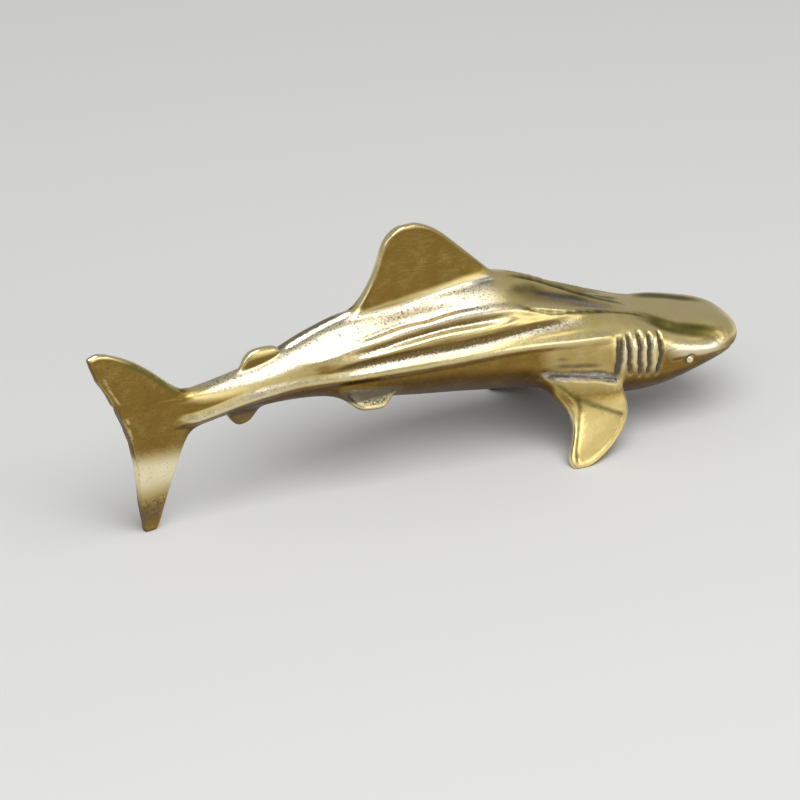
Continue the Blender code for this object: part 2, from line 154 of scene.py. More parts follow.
# how a fin's rows lie in a layer, as shares of the layer's length or thickness
finGrid = {"inset": 0.02, "reach": 0.92, "endThickness": 0.9, "crown": 0.2}
half = len(flankAngles) - 1  # rings run from the crest down the left flank and up the right one
finRoots = {  # first ring, last ring, the three columns of the ring that the fin takes
    "upperLobe": (0.3, 9.8, (1, 0, -1)), "lowerLobe": (0.3, 9.8, (half - 1, half, half + 1)),
    "secondDorsal": (16.0, 21.0, (1, 0, -1)), "anal": (14.0, 18.4, (half - 1, half, half + 1)),
    "dorsal": (29.4, 47.0, (1, 0, -1)), "pectoral": (52.6, 62.6, (10, 11, 12)),
    "pelvic": (26.8, 35.0, (11, 12, 13)),
}


def border(grid):
    return [grid[0][1], *(row[0] for row in grid), grid[-1][1], *(row[2] for row in grid[::-1])]


def growFin(bm, rings, name, side, layers):
    # layer by layer, a ring of faces round the fin grows from the open place in the body
    firstPlace, lastPlace, columns = finRoots[name]
    first, last = ringPlaces.index(firstPlace), ringPlaces.index(lastPlace)
    columns = [c * side for c in columns]
    rows = last - first + 1
    edge = border([[rings[i][c] for c in columns] for i in range(first, last + 1)])
    below = sum((np.array(v.co) for v in edge), np.zeros(3)) / len(edge)
    for number, (rear, front, thickness) in enumerate(finLayers[name]):
        rear = finPoint(rear[0], rear[1] * side, rear[2])
        front = finPoint(front[0], front[1] * side, front[2])
        middle = (rear + front) / 2
        out = (middle - below) / np.linalg.norm(middle - below)
        normal = np.cross(front - rear, out)
        normal /= np.linalg.norm(normal)
        towards = np.array(rings[first][columns[0]].co) - np.array(rings[first][columns[2]].co)
        normal *= math.copysign(1, np.dot(normal, towards))
        grid = []
        for j in range(rows):
            share, end = j / (rows - 1), j in (0, rows - 1)
            flat = rear + (front - rear) * (finGrid["inset"] + finGrid["reach"] * share)
            thick = thickness / 2 * (finGrid["endThickness"] if end else 1.0)
            row = [bm.verts.new(flat + normal * thick), None, bm.verts.new(flat - normal * thick)]
            if end:
                row[1] = bm.verts.new(rear + (front - rear) * share)
            elif number == len(finLayers[name]) - 1:
                row[1] = bm.verts.new(flat + out * thickness * finGrid["crown"])
            if row[1]:
                row[1][layers["rim"]] = 1.0
            for v in filter(None, row):
                v[layers[name]] = 1.0
            grid.append(row)
        ring = border(grid)
        for a, b, c, d in zip(edge, edge[1:] + edge[:1], ring[1:] + ring[:1], ring):
            bm.faces.new((a, b, c, d))
        edge, below = ring, middle
    for i in range(rows - 1):
        for c in range(2):
            bm.faces.new((grid[i][c], grid[i + 1][c], grid[i + 1][c + 1], grid[i][c + 1]))
    for i in range(first + 1, last):
        bm.verts.remove(rings[i][columns[1]])


# crisp corners along the tail's trailing edge: how crisp, and which edges these are
tailCorner = {"crease": 0.6, "rearFace": 0.6, "sideFace": 0.5, "end": 5}


def buildCage():
    bm = bmesh.new()
    layers = {name: bm.verts.layers.float.new(name) for name in (*finLayers, "rim")}
    rings = []
    for along in ringPlaces:
        ring = [bodyPoint(along, angle) for angle in flankAngles]
        ring += [bodyPoint(along, angle, -1) for angle in flankAngles[-2:0:-1]]
        rings.append([bm.verts.new(point) for point in ring])
    count = len(rings[0])
    fins = [(name, side) for name in finLayers
            for side in ((1, -1) if name in ("pectoral", "pelvic") else (1,))]
    openFaces = set()
    for name, side in fins:
        firstPlace, lastPlace, columns = finRoots[name]
        for i in range(ringPlaces.index(firstPlace), ringPlaces.index(lastPlace)):
            for a, b in zip(columns, columns[1:]):
                a, b = a * side % count, b * side % count
                openFaces.add((i, min(a, b) if abs(a - b) == 1 else max(a, b)))
    for i in range(len(rings) - 1):
        for k in range(count):
            if (i, k) not in openFaces:
                n = (k + 1) % count
                bm.faces.new((rings[i][k], rings[i + 1][k], rings[i + 1][n], rings[i][n]))
    for ring in (rings[0], rings[-1]):
        bm.faces.new((ring[0], ring[1], ring[-1]))
        for k in range(1, half - 1):
            bm.faces.new((ring[k], ring[k + 1], ring[-k - 1], ring[-k]))
        bm.faces.new((ring[half - 1], ring[half], ring[half + 1]))
    for name, side in fins:
        growFin(bm, rings, name, side, layers)
    bmesh.ops.recalc_face_normals(bm, faces=bm.faces)
    crease = bm.edges.layers.float.new("crease_edge")
    for edge in bm.edges:
        looks = sorted(-np.dot(np.array(face.normal), ahead(0)) for face in edge.link_faces)
        rearCorner = looks[-1] > tailCorner["rearFace"] and looks[0] < tailCorner["sideFace"]
        if rearCorner and edge.verts[0].co.x < tailCorner["end"]:
            edge[crease] = tailCorner["crease"]
    return bm


def subdivided(bm, levels):
    mesh = bpy.data.meshes.new("sharkSkin")
    bm.to_mesh(mesh)
    bm.free()
    casting = bpy.data.objects.new("sharkSkin", mesh)
    bpy.context.scene.collection.objects.link(casting)
    smooth = casting.modifiers.new("smoothCasting", "SUBSURF")
    smooth.levels = smooth.render_levels = levels
    depsgraph = bpy.context.evaluated_depsgraph_get()
    fine = bpy.data.meshes.new_from_object(casting.evaluated_get(depsgraph))
    bpy.data.objects.remove(casting)
    bm = bmesh.new()
    bm.from_mesh(fine)
    return bm


# places where the skin gets more rows, between two places along and two heights
fineZones = {"gills": dict(start=60.8, stop=68.2, step=0.17, low=6.4, high=13.8),
             "eye": dict(start=70.1, stop=72.2, step=0.12, low=7.4, high=9.5)}
fineMargin, steepest = 0.4, 0.93


def refine(bm, start, stop, step, low, high):
    middle = planPoint((start + stop) / 2)
    towards = ahead((start + stop) / 2)
    reach = (stop - start) / 2 + fineMargin
    near = [f for f in bm.faces
            if low < f.calc_center_median().z < high and abs(f.normal.z) < steepest
            and abs(np.dot(np.array(f.calc_center_median()) - middle, towards)) < reach]
    for along in np.arange(start, stop, step):
        edges = {e for f in near for e in f.edges}
        verts = {v for f in near for v in f.verts}
        cut = bmesh.ops.bisect_plane(bm, geom=[*near, *edges, *verts], dist=0.02,
                                     plane_co=planPoint(along), plane_no=ahead(along))
        near = [g for g in cut["geom"] if isinstance(g, bmesh.types.BMFace)]


cageLevels = 3
bm = subdivided(buildCage(), cageLevels)
for zone in fineZones.values():
    refine(bm, **zone)

# the tail: a rounder tip, and faces without a step where lobes and blade join
tailSmoothing = {"tip": (-4.6, 0, 23.0), "tipReach": 2.9, "faceEnd": 8.5, "rim": 0.4, "level": 0.55,
                 "steps": 28, "factor": 0.5}
rimLayer = bm.verts.layers.float["rim"]
tip = Vector(finPoint(*tailSmoothing["tip"]))
lobeTip = [v for v in bm.verts if (v.co - tip).length < tailSmoothing["tipReach"]]
tailFace = [v for v in bm.verts
            if v.co.x < tailSmoothing["faceEnd"] and v[rimLayer] < tailSmoothing["rim"]
            and abs(v.normal.y) > tailSmoothing["level"]]
for step in range(tailSmoothing["steps"]):
    for verts, everyWay in ((lobeTip, True), (tailFace, False)):  # the faces move sideways only
        bmesh.ops.smooth_vert(bm, verts=verts, factor=tailSmoothing["factor"], use_axis_x=everyWay,
                              use_axis_y=True, use_axis_z=everyWay)
bm.normal_update()
skin = np.array([v.co for v in bm.verts])
normals = np.array([v.normal for v in bm.verts])
onFin = {name: np.array([v[bm.verts.layers.float[name]] for v in bm.verts]) for name in finLayers}
rimShare = 0.97  # how much of a rim a point has to be
onRim = np.array([v[rimLayer] for v in bm.verts]) > rimShare
print("skin of the body made,", len(skin), "points")


def spineChart(points):  # along, out, height of each point
    start, turn = spine["bend"] / 2, spine["bend"] / spine["length"]
    centre = np.array([math.sin(start), -math.cos(start)]) / turn
    arm = points[:, :2] - centre
    along = (start - np.arctan2(-arm[:, 0], arm[:, 1])) / turn
    return along, np.linalg.norm(arm, axis=1) - 1 / turn, points[:, 2]


def soft(low, high, value):  # smooth step from 0 at low to 1 at high, either way round
    t = np.clip((value - low) / (high - low), 0, 1)
    return t * t * (3 - 2 * t)


along, out, height = spineChart(skin)

# the tail's trailing edge, evened out where its lobes join the blade: a curve with fewer bends takes
# the place of one that follows the edge as it is
tailEdge = {"bottom": 1.5, "top": 23.2, "step": 0.5, "depth": 0.35, "bends": 15, "fewerBends": 6,
            "fade": (4.0, 0.3), "fadeBelow": (2.5, 5), "fadeAbove": (23.6, 22.6)}
levels = np.arange(tailEdge["bottom"], tailEdge["top"] + tailEdge["step"], tailEdge["step"])
lowest = np.array([along[abs(height - level) < tailEdge["step"]].min() for level in levels])
edgeGap = along - np.interp(height, levels, lowest)
onEdge = (abs(edgeGap) < tailEdge["depth"]) & (height > tailEdge["bottom"]) & (height < tailEdge["top"])
asBuilt, evened = (np.polynomial.Polynomial.fit(height[onEdge], along[onEdge], tailEdge[bends])
                   for bends in ("bends", "fewerBends"))
atEdge = (soft(*tailEdge["fade"], edgeGap) * soft(*tailEdge["fadeBelow"], height)
          * soft(*tailEdge["fadeAbove"], height))
skin += np.outer((evened(height) - asBuilt(height)) * atEdge, ahead(0))

# how far each point moves along its normal, and how much of each finish it has, in the order of the names:
# patina, polish with a painted glint, painted light, painted shade, dark green, dark specks, soot with
# painted shade, grey streaks
moved = np.zeros(len(skin))
fieldNames = ("patina", "polish", "pale", "tone", "green", "grit", "soot", "steel")
fields = {name: np.zeros(len(skin)) for name in fieldNames}

# lines on both flanks: points along and height, half width, rise, fade at the ends, the share of the
# width that is level (flat) or carries the fields (stain), and how much of each field
# stockEdge and snoutSide carry painted highlights, and finRootShade is painted shade where the pectoral fin
# meets the body
flankLines = {
    "upperRidge": dict(points=[(22, 16.0), (31, 17.4), (38, 18.3), (44, 18.7), (50, 17.9), (55, 16.5),
                               (60, 15.1), (63, 14.0)], width=1.0, rise=0.28, polish=0.5),
    "middleRidge": dict(points=[(23, 15.6), (33, 16.4), (40, 16.9), (45, 17.0), (50, 17.4)],
                        width=1.0, rise=0.26, polish=0.5),
    "lowerRidge": dict(points=[(5.5, 12.6), (10, 12.7), (14.4, 13.4), (18, 13.9), (22, 14.1),
                               (30, 13.9), (40, 14.0), (48, 14.1), (55, 13.6), (62, 13.0)],
                       width=1.0, rise=0.30, polish=0.8),
    "stockEdge": dict(points=[(6, 12.3), (10, 12.4), (14.4, 13.0), (18, 13.5), (22, 13.8)], width=0.8,
                      rise=0.12, pale=0.9, polish=0.6),
    "upperGroove": dict(points=[(26, 16.3), (33, 16.9), (38, 17.5), (44, 17.8), (48.5, 17.5)],
                        width=0.75, rise=-0.34, fade=6.0, stain=1.0, patina=1.0),
    "lowerGroove": dict(points=[(24, 14.9), (35, 15.3), (44, 15.5), (50, 15.8), (54, 15.6), (59, 14.8)],
                        width=1.0, rise=-0.38, fade=7.0, stain=1.0, patina=1.0),
    "crestGroove": dict(points=[(24, 18.0), (30, 18.8), (38, 19.6), (44, 20.0)], width=1.1, rise=-0.10,
                        patina=0.7),
    "underBack": dict(points=[(27.4, 17.6), (30.7, 18.1), (34.5, 18.5), (38.0, 18.7), (41.5, 19.2),
                              (45.4, 19.0)], width=0.5, rise=-0.14, patina=0.7),
    "headBand": dict(points=[(62, 14.2), (65.1, 13.4), (67.5, 12.7), (69.8, 11.9), (72.4, 11.2),
                             (75.0, 10.4), (77.6, 9.7)], width=1.8, rise=-0.30),
    "headGreen": dict(points=[(63, 14.1), (65.1, 13.6), (67.5, 12.9), (69.8, 12.2), (72.4, 11.5),
                              (75.0, 10.7), (77.2, 10.0)], width=1.1, flat=0.25, green=1.0, tone=0.5),
    "snoutSide": dict(points=[(66, 10.9), (69.6, 9.8), (71.4, 9.3), (73.1, 9.1), (74.9, 9.1), (78, 9.2)],
                      width=1.5, rise=0.30, polish=0.9, pale=0.8),
    "finRootGroove": dict(points=[(51.4, 10.2), (54.5, 9.6), (57, 9.05), (59.5, 8.5), (63.0, 7.4)],
                          width=0.68, rise=-0.30, fade=1.5, flat=0.15, steel=1.0, polish=0.9),
    "finRootShade": dict(points=[(52.4, 9.75), (56.1, 9.05), (58.5, 8.5), (60.7, 7.9), (62.9, 7.3)],
                         width=0.34, rise=-0.08, fade=1.0, soot=1.0),
    "finRootHole": dict(points=[(51.6, 9.9), (52.4, 9.4), (53.4, 9.0)], width=0.6, rise=-0.15, fade=0.5,
                        soot=0.9),
    "finRootScratch": dict(points=[(52.1, 11.0), (55.2, 10.6), (57.6, 10.2), (60.4, 9.7)],
                           width=0.36, rise=-0.06, fade=2.0, soot=0.8),
    "flankScratch": dict(points=[(52.6, 11.7), (54.2, 11.6), (56.0, 11.2)], width=0.32, rise=-0.03,
                         fade=1.5, soot=0.6),
}
# lines on the back: points along, distance from the mid plane
# the hollow is darkened with painted shade, hollowShade is painted shade, and hollowSilver carries a painted
# sheen where it looks up
backLines = {
    "hollow": dict(points=[(46.5, 3.9), (49, 3.3), (51.5, 2.9), (54, 2.7), (57, 2.2), (60, 1.9),
                           (63.5, 1.6)], width=1.6, rise=-0.34, fade=4.5, flat=0.1, tone=0.32),
    "hollowTip": dict(points=[(46.9, 4.3), (47.3, 3.5), (48.6, 2.8), (50.7, 2.2), (53.8, 1.8)], width=0.95,
                      rise=-0.05, fade=2.5, green=0.75),
    "hollowShade": dict(points=[(49.3, 3.0), (51.4, 2.5), (53.6, 2.4), (56.4, 1.6), (60, 1.2)], width=0.65,
                        fade=3.0, soot=0.65, green=0.6),
    "hollowSilver": dict(points=[(50.5, 3.3), (51.9, 2.9), (55.3, 2.2), (58.0, 1.9), (62.8, 1.6)], width=0.6,
                         fade=3.0, steel=0.55, patina=0.6),
    "shoulderCrease": dict(points=[(47.2, 4.1), (49.2, 4.6), (52.8, 4.6), (56.1, 4.0), (60.7, 3.2),
                                   (64.7, 2.8), (67.5, 3.4)], width=0.38, rise=-0.13, fade=2.0, green=1.0),
    "tailCrest": dict(points=[(21, 0.1), (31, 0.1)], width=0.45, rise=0.16, fade=1.5, polish=1.0),
    "neckLine": dict(points=[(47.5, 0.7), (55, 0.55), (62, 0.5), (65, 0.9)], width=0.5, rise=-0.10,
                     fade=3.0, green=1.0, tone=0.5),
    "neckCrest": dict(points=[(46, 0.0), (62, 0.0)], width=0.5, rise=0.14, fade=5.0, polish=0.8),
    "dorsalRoot": dict(points=[(43.5, 1.6), (45.5, 1.5), (47.6, 1.3)], width=0.7, rise=-0.08, fade=1.5,
                       steel=0.8),
}
# a shade beside the crest of the head, on the left side only
farShade = dict(points=[(65.5, 2.0), (69.0, 2.6), (71.2, 2.5), (72.9, 2.2), (74.9, 1.9), (77.1, 1.2)],
                width=1.0, fade=4.0, green=0.9, tone=0.7)
lineStep, fewestSteps = 0.25, 8


def backPoint(along, out, side):
    share = min(1.0, out / sectionValue("halfWidth", along)) ** (1 / sectionValue("crown", along))
    return bodyPoint(along, math.degrees(math.acos(share)), side)


skinTree = kdtree.KDTree(len(skin))
for i, point in enumerate(skin):
    skinTree.insert(point, i)
skinTree.balance()


def onSkin(points):  # the line laid on the skin, each point averaged with its neighbours
    line = np.array([skinTree.find(point)[0] for point in points])
    return np.array([line[max(0, i - 3):i + 4].mean(axis=0) for i in range(len(line))])


def drawLine(points, side, place):
    alongs, others = zip(*points)
    steps = max(fewestSteps, int((alongs[-1] - alongs[0]) / lineStep))
    places = np.linspace(alongs[0], alongs[-1], steps)
    return onSkin([place(a, h, side) for a, h in zip(places, through(alongs, others, places))])


def nearLine(line, width, fade):
    # for the points within reach: which they are, how far off in widths, and the fade over both ends
    within = (skin > line.min(axis=0) - width) & (skin < line.max(axis=0) + width)
    near = np.flatnonzero(within.all(axis=1))
    gaps = np.linalg.norm(skin[near][:, None, :] - line[None, :, :], axis=2)
    nearest = gaps.argmin(axis=1)
    travelled = np.concatenate(([0.0], np.cumsum(np.linalg.norm(np.diff(line, axis=0), axis=1))))
    place = travelled[nearest]
    ends = soft(0, fade, np.minimum(place, travelled[-1] - place))
    return near, gaps[np.arange(len(near)), nearest] / width, ends


def mark(name, amount, where=slice(None)):
    fields[name][where] = np.maximum(fields[name][where], amount)


def press(line, width, rise=0.0, fade=4.0, flat=0.0, stain=1.1, **amounts):
    # raises or sinks the skin along a line and marks fields there, over stain times its width
    near, gap, ends = nearLine(line, width * max(1.0, stain), fade)
    gap *= max(1.0, stain)
    moved[near] += rise * (1 - soft(flat, 1, gap)) * ends
    for name, amount in amounts.items():
        mark(name, amount * (1 - soft(flat * stain, stain, gap)) * ends, near)


def pressAll(points, place, sides=(1, -1), **settings):
    for side in sides:
        press(drawLine(points, side, place), **settings)


for line in flankLines.values():
    pressAll(place=flankPoint, **line)
for line in backLines.values():
    pressAll(place=backPoint, **line)
pressAll(place=backPoint, sides=(1,), **farShade)
print("ridges and grooves drawn")

# each gill slit: along at its top and bottom, height of its top and bottom, forward bulge
gills = {"width": 0.36, "depth": 0.20, "firstWider": 1.6, "fade": 1.1, "floor": 0.3,
         "slits": [(61.1, 62.0, 13.2, 7.6, 0.0), (62.2, 63.7, 13.3, 7.5, -0.1),
                   (63.7, 65.0, 13.2, 7.1, -0.1), (65.1, 66.0, 12.9, 6.9, 0.0),
                   (66.6, 66.9, 12.7, 6.8, 0.35)],
         "slowWaver": 0.05, "quickWaver": 0.03,
         # the ridge ahead of each slit carries a painted highlight
         "ridge": dict(width=0.40, rise=0.05, fade=2.2, polish=0.9, pale=0.5), "ridgeAhead": 0.68}
for number, (top, bottom, high, low, bulge) in enumerate(gills["slits"]):
    shares = np.linspace(0, 1, 40)
    waver = (gills["slowWaver"] * np.sin(shares * 14 + number * 1.7)
             + gills["quickWaver"] * np.sin(shares * 35 + number))
    alongs = top + (bottom - top) * shares + bulge * np.sin(shares * math.pi) + waver
    heights = high + (low - high) * shares
    width = gills["width"] * (gills["firstWider"] if number == 0 else 1)
    for side in (1, -1):
        line = np.array([flankPoint(a, h, side) for a, h in zip(alongs, heights)])
        press(line, width, -gills["depth"], gills["fade"], gills["floor"], soot=1.0)
        if number < len(gills["slits"]) - 1:
            line = np.array([flankPoint(a + gills["ridgeAhead"], h, side) for a, h in zip(alongs, heights)])
            press(line, **gills["ridge"])

# the mouth slit and the eye's crease are darkened with painted shade
mouth = {"height": 8.2, "corner": 74.5, "slit": dict(width=0.35, rise=-0.30, fade=1.5, tone=0.9)}
sides = [np.array([flankPoint(a, mouth["height"], side)
                   for a in np.linspace(mouth["corner"], spine["length"], 30)]) for side in (1, -1)]
front = np.linspace(sides[0][-1], sides[1][-1], 40)[1:-1]
press(np.concatenate((sides[0], front, sides[1][::-1])), **mouth["slit"])

eye = {"place": 71.1, "height": 8.45, "radius": 0.50, "sunk": 0.15, "ring": 0.60,
       "socket": dict(width=0.20, rise=-0.10, fade=0.01, soot=0.9),
       "creaseFrom": 68.6, "creaseTo": 70.4, "creaseHeight": 8.75,
       "crease": dict(width=0.22, rise=-0.07, fade=0.5, tone=0.9)}
for side in (1, -1):
    centre = flankPoint(eye["place"], eye["height"], side)
    socket = np.array([centre + eye["ring"] * (ahead(eye["place"]) * math.cos(turn)
                                               + np.array([0, 0, 1]) * math.sin(turn))
                       for turn in np.linspace(0, 2 * math.pi, 40)])
    press(socket, **eye["socket"])
    press(np.array([flankPoint(a, eye["creaseHeight"], side)
                    for a in np.linspace(eye["creaseFrom"], eye["creaseTo"], 12)]), **eye["crease"])
print("gills, mouth and eyes drawn")

# fins: how far each point is from the nearest rim, where the tail's edge that looks back is no rim
tail = {"rimEnd": 8.5, "trailing": 0.3, "end": 9, "blend": (10.5, 7.5)}
trailing = -normals.dot(ahead(0)) >= tail["trailing"]
rims = np.flatnonzero(onRim & ((along > tail["rimEnd"]) | ~trailing))
rimTree = kdtree.KDTree(len(rims))
for i in rims:
    rimTree.insert(skin[i], int(i))
rimTree.balance()
anyFin = np.max(list(onFin.values()), axis=0)
bigFin = np.max([soft(*tail["blend"], along), onFin["dorsal"], onFin["pectoral"]], axis=0)
farFromRims = 9.0
rimGap = np.full(len(skin), farFromRims)
for i in np.flatnonzero((anyFin > 0.05) | (along < tail["end"])):
    rimGap[i] = rimTree.find(skin[i])[2]

# the fins' faces lie a little lower than their rims
faceHollows = {"big": dict(depth=0.13, fromRim=(0.5, 1.15), onFin=(0.3, 1.0)),
               "anal": dict(depth=0.04, fromRim=(0.4, 1.0), onFin=(0.2, 0.8))}
for fin, hollow in zip((bigFin, onFin["anal"]), faceHollows.values()):
    moved -= hollow["depth"] * soft(*hollow["fromRim"], rimGap) * soft(*hollow["onFin"], fin)

# creases and beads of the fins: points along, distance from the mid plane, height
folds = {
    "pectoralCrease": dict(points=[(52.9, 6.3, 9.2), (54.4, 6.6, 8.0), (55.6, 7.0, 6.9), (56.2, 7.5, 5.8),
                                   (55.9, 8.3, 4.4), (55.2, 9.3, 2.8), (54.7, 10.1, 1.7),
                                   (54.6, 10.9, 0.4)], width=0.34, rise=-0.12, green=0.9),
    "pectoralRoot": dict(points=[(55.4, 6.9, 7.1), (56.6, 7.2, 6.3), (58.6, 7.6, 5.5), (60.8, 8.1, 4.6),
                                 (62.4, 8.2, 4.1)], width=0.42, rise=-0.06, green=1.0),
    # a painted glint along the tail's trailing corner
    "tailBead": dict(points=[(-2.5, 0.9, 21.0), (-1.5, 0.9, 19.0), (0.1, 0.9, 16.0), (1.0, 0.9, 13.8),
                             (1.6, 0.9, 11.2)], width=0.14, rise=0.05, polish=0.7),
}
# the pectoral pleats carry painted glints
pleats = {"starts": (60.3, 60.9, 61.5, 62.1), "slant": 0.7, "top": (6.7, 7.0), "bottom": (7.1, 6.3),
          "fold": dict(width=0.20, rise=0.06, fade=0.3, polish=1.0)}


def fold(points, width, rise, fade=0.6, **amounts):  # a line drawn on the fins of both sides
    given, places = np.linspace(0, 1, len(points)), np.linspace(0, 1, 60)
    alongs, outs, heights = (through(given, values, places) for values in zip(*points))
    for side in (1, -1):
        line = onSkin([finPoint(a, o * side, h) for a, o, h in zip(alongs, outs, heights)])
        press(line, width, rise, fade, **amounts)


for crease in folds.values():
    fold(**crease)
for start in pleats["starts"]:
    fold([(start, *pleats["top"]), (start - pleats["slant"], *pleats["bottom"])], **pleats["fold"])

tableHeight = 0.0
for v, place in zip(bm.verts, skin + normals * moved[:, None]):
    v.co = (place[0], place[1], max(place[2], tableHeight))
bm.normal_update()
normals = np.array([v.normal for v in bm.verts])
print("fins finished")

# where each finish lies. A measure has two numbers for a slope, or four for a rise and a fall: along,
# out, height, rimGap and aboveEdge in millimetres, lean and rearward as the part of the surface's
# normal that looks up and back. fin keeps a zone on that fin, clears is the share that clear() takes
# away, and the rest say how much of each field the zone gets.
zones = {
    "rims": dict(rimGap=(0.62, 0.30), anyFin=(0.1, 0.5), polish=1.0),
    "upperLobeLine": dict(fin="upperLobe", rimGap=(0.4, 0.6, 0.8, 1.1), along=(-1, 2), green=1.0),
    # painted shade on the dorsal fin's face
    "dorsalFace": dict(along=(30.5, 31.5, 46.3, 47.5), aboveEdge=(-0.2, 0.4), rimGap=(0.4, 0.7), tone=0.5),
    "dorsalFront": dict(along=(37, 44, 46.3, 47.5), aboveEdge=(-0.2, 0.4), rimGap=(0.4, 0.7), green=0.22),
    # painted shade where the surface looks level or down
    "sides": dict(lean=(0.34, 0.04), tone=0.50),
    "underside": dict(lean=(0.05, -0.45), tone=1.0),
    # painted light on the top of the head
    "headTop": dict(along=(63, 67), lean=(0.6, 0.85), pale=0.15),
    "flankBand": dict(along=(50.5, 53.5, 66.5, 68.0), height=(14.0, 13.0), lean=(-0.25, 0.1), clears=0.5),
    "behindGills": dict(along=(51.0, 53.0, 60.5, 61.5), height=(9.6, 10.2, 12.6, 13.4), tone=0.30),
    # painted shade on the pectoral fins, darker towards the root
    "pectoralFace": dict(fin="pectoral", rimGap=(0.3, 0.9), tone=0.14),
    "pectoralTop": dict(fin="pectoral", rimGap=(0.3, 0.9), height=(5.0, 6.6), tone=0.32),
    # painted shade on the trailing edge that looks back, kept off its painted bright corner
    "trailingEdge": dict(rearward=(0.45, 0.75), along=(5, 3), height=(8.0, 10.0), tone=0.85),
    "trailingCorner": dict(along=(3, 2), clears=0.8),
    # painted shade that dims a highlight where the lobes join the blade
    "lobeRoot": dict(along=(9.5, 8.0), height=(14.4, 15.2, 16.6, 17.4), rimGap=(0.6, 1.0), tone=0.55),
    "stockEnd": dict(along=(8, 10)),
    # a painted highlight band on the lower lobe
    "lobeBand": dict(along=(9.5, 8), slanted=(11.0, 8.0), height=(2.6, 7.0), pale=0.9),
    "lobePatch": dict(fin="lowerLobe", height=(0.7, 1.4, 2.9, 3.6), rimGap=(0.6, 1.0), soot=0.4),
    "lobeSpecks": dict(fin="lowerLobe", height=(0.9, 1.8, 4.0, 5.0), rimGap=(0.6, 1.0), grit=0.8),
    "tailSpecks": dict(along=(10, 7), rimGap=(0.5, 1.2), height=(5.0, 6.0), grit=0.48),
    "keelEnd": dict(along=(3, 6, 10, 14), height=(11.2, 12.0, 14.5, 16), grit=0.50),
    # painted light on what looks up over the stock and the upper flank, beside real specks and patina
    "stock": dict(along=(9, 13, 27, 36), lean=(0.35, 0.6), grit=0.52, pale=0.9, patina=0.32),
    "upperFlank": dict(along=(28, 34, 44, 50), height=(17.0, 18.4), pale=0.70),
    "upperSpecks": dict(along=(28, 34, 44, 50), height=(17.8, 18.6), grit=0.38),
    "upperBack": dict(along=(26, 30, 45, 49), height=(17.2, 17.8), lean=(0.3, 0.6), patina=0.54),
    # painted shade beside the crest, on the left side only
    "farCrest": dict(out=(0.05, 0.35, 0.9, 1.8), along=(20, 21.5, 30, 32), height=(15.5, 16.5), tone=0.95),
    "pelvicFace": dict(fin="pelvic", rimGap=(0.25, 0.8), patina=0.8, grit=0.6),
    "pelvicRoot": dict(fin="pelvic", height=(10.7, 11.3), soot=1.0),
    "analRoot": dict(fin="anal", height=(10.0, 10.8, 11.2, 11.9), soot=0.5),
    "secondDorsalTip": dict(fin="secondDorsal", rimGap=(0.5, 0.9), height=(17.3, 18.0), clears=0.7),
    "secondDorsalRoot": dict(fin="secondDorsal", rimGap=(0.4, 0.9), height=(17.9, 17.3), green=0.45),
}
dorsalFaceEdge = [(31.3, 20.0), (34, 20.3), (37.7, 20.7), (41.4, 21.1), (44.2, 21.5)]  # along, height
bandSlant = 0.14  # how far the lower lobe's band climbs per millimetre
measures = {"along": along, "out": out, "height": height, "rimGap": rimGap, "anyFin": anyFin,
            "lean": normals[:, 2], "rearward": -(normals * np.array([ahead(0)])).sum(axis=1),
            "aboveEdge": height - np.interp(along, *zip(*dorsalFaceEdge)),
            "slanted": height + bandSlant * (along - 2)}


def zoneMask(name):
    mask = onFin[zones[name]["fin"]] if "fin" in zones[name] else 1.0
    for measure, values in measures.items():
        if measure in zones[name]:
            low, high, *fall = zones[name][measure]
            mask = mask * soft(low, high, values)
            if fall:
                mask = mask * soft(fall[1], fall[0], values)
    return mask


def lay(name, share=1.0):  # marks the zone's own amounts
    for field in fieldNames:
        if field in zones[name]:
            mark(field, zones[name][field] * zoneMask(name) * share)


def clear(field, name, share=1.0):  # takes a field away there
    fields[field] *= 1 - zones[name].get("clears", 1.0) * zoneMask(name) * share


# painted shade where the surface looks level or down and on the dorsal fin's face, painted highlights on the
# rims, and a little painted light on the head's top
for name in ("rims", "upperLobeLine", "dorsalFace", "dorsalFront"):
    lay(name)
lay("sides", 1 - 0.75 * fields["polish"])
lay("underside", 1 - 0.5 * fields["polish"])
lay("headTop", 1 - fields["green"])
clear("tone", "flankBand")
lay("behindGills")
# painted shade on the pectoral fins
pectoralShade = sum(zones[name]["tone"] * zoneMask(name) for name in ("pectoralFace", "pectoralTop"))
mark("tone", pectoralShade)  # duller towards the root

# the tail: painted shade on the trailing edge behind a painted highlight on its corner, painted shade where
# the lobes join the blade, a painted highlight band and a dark patch low down
lay("trailingEdge")
clear("tone", "trailingCorner", fields["polish"])
lay("lobeRoot")
clear("polish", "lobeRoot")
offStock = 1 - zoneMask("stockEnd") * (1 - onFin["lowerLobe"])
clear("tone", "lobeBand", offStock)
lay("lobeBand", offStock)
for name in ("lobePatch", "lobeSpecks", "tailSpecks", "keelEnd"):
    lay(name)

# speckles where the grooves run out over the back and the tail's stock, with painted light where these look
# up and painted shade beside the crest on the left side
plain = 1 - soft(0.2, 0.6, anyFin)
for name in ("stock", "upperFlank", "upperSpecks", "upperBack"):
    lay(name, plain)
lay("farCrest")
clear("pale", "farCrest")

# the small fins
for name in ("pelvicFace", "pelvicRoot", "analRoot", "secondDorsalRoot"):
    lay(name)
clear("tone", "secondDorsalTip")

# a painted silver highlight on the patina where it looks up
fields["paintedSheen"] = (soft(0.0, 0.4, fields["patina"]) * soft(0.20, 0.60, measures["lean"])
                    * (1 - 0.45 * onFin["pelvic"]))
print("polish and patina laid")

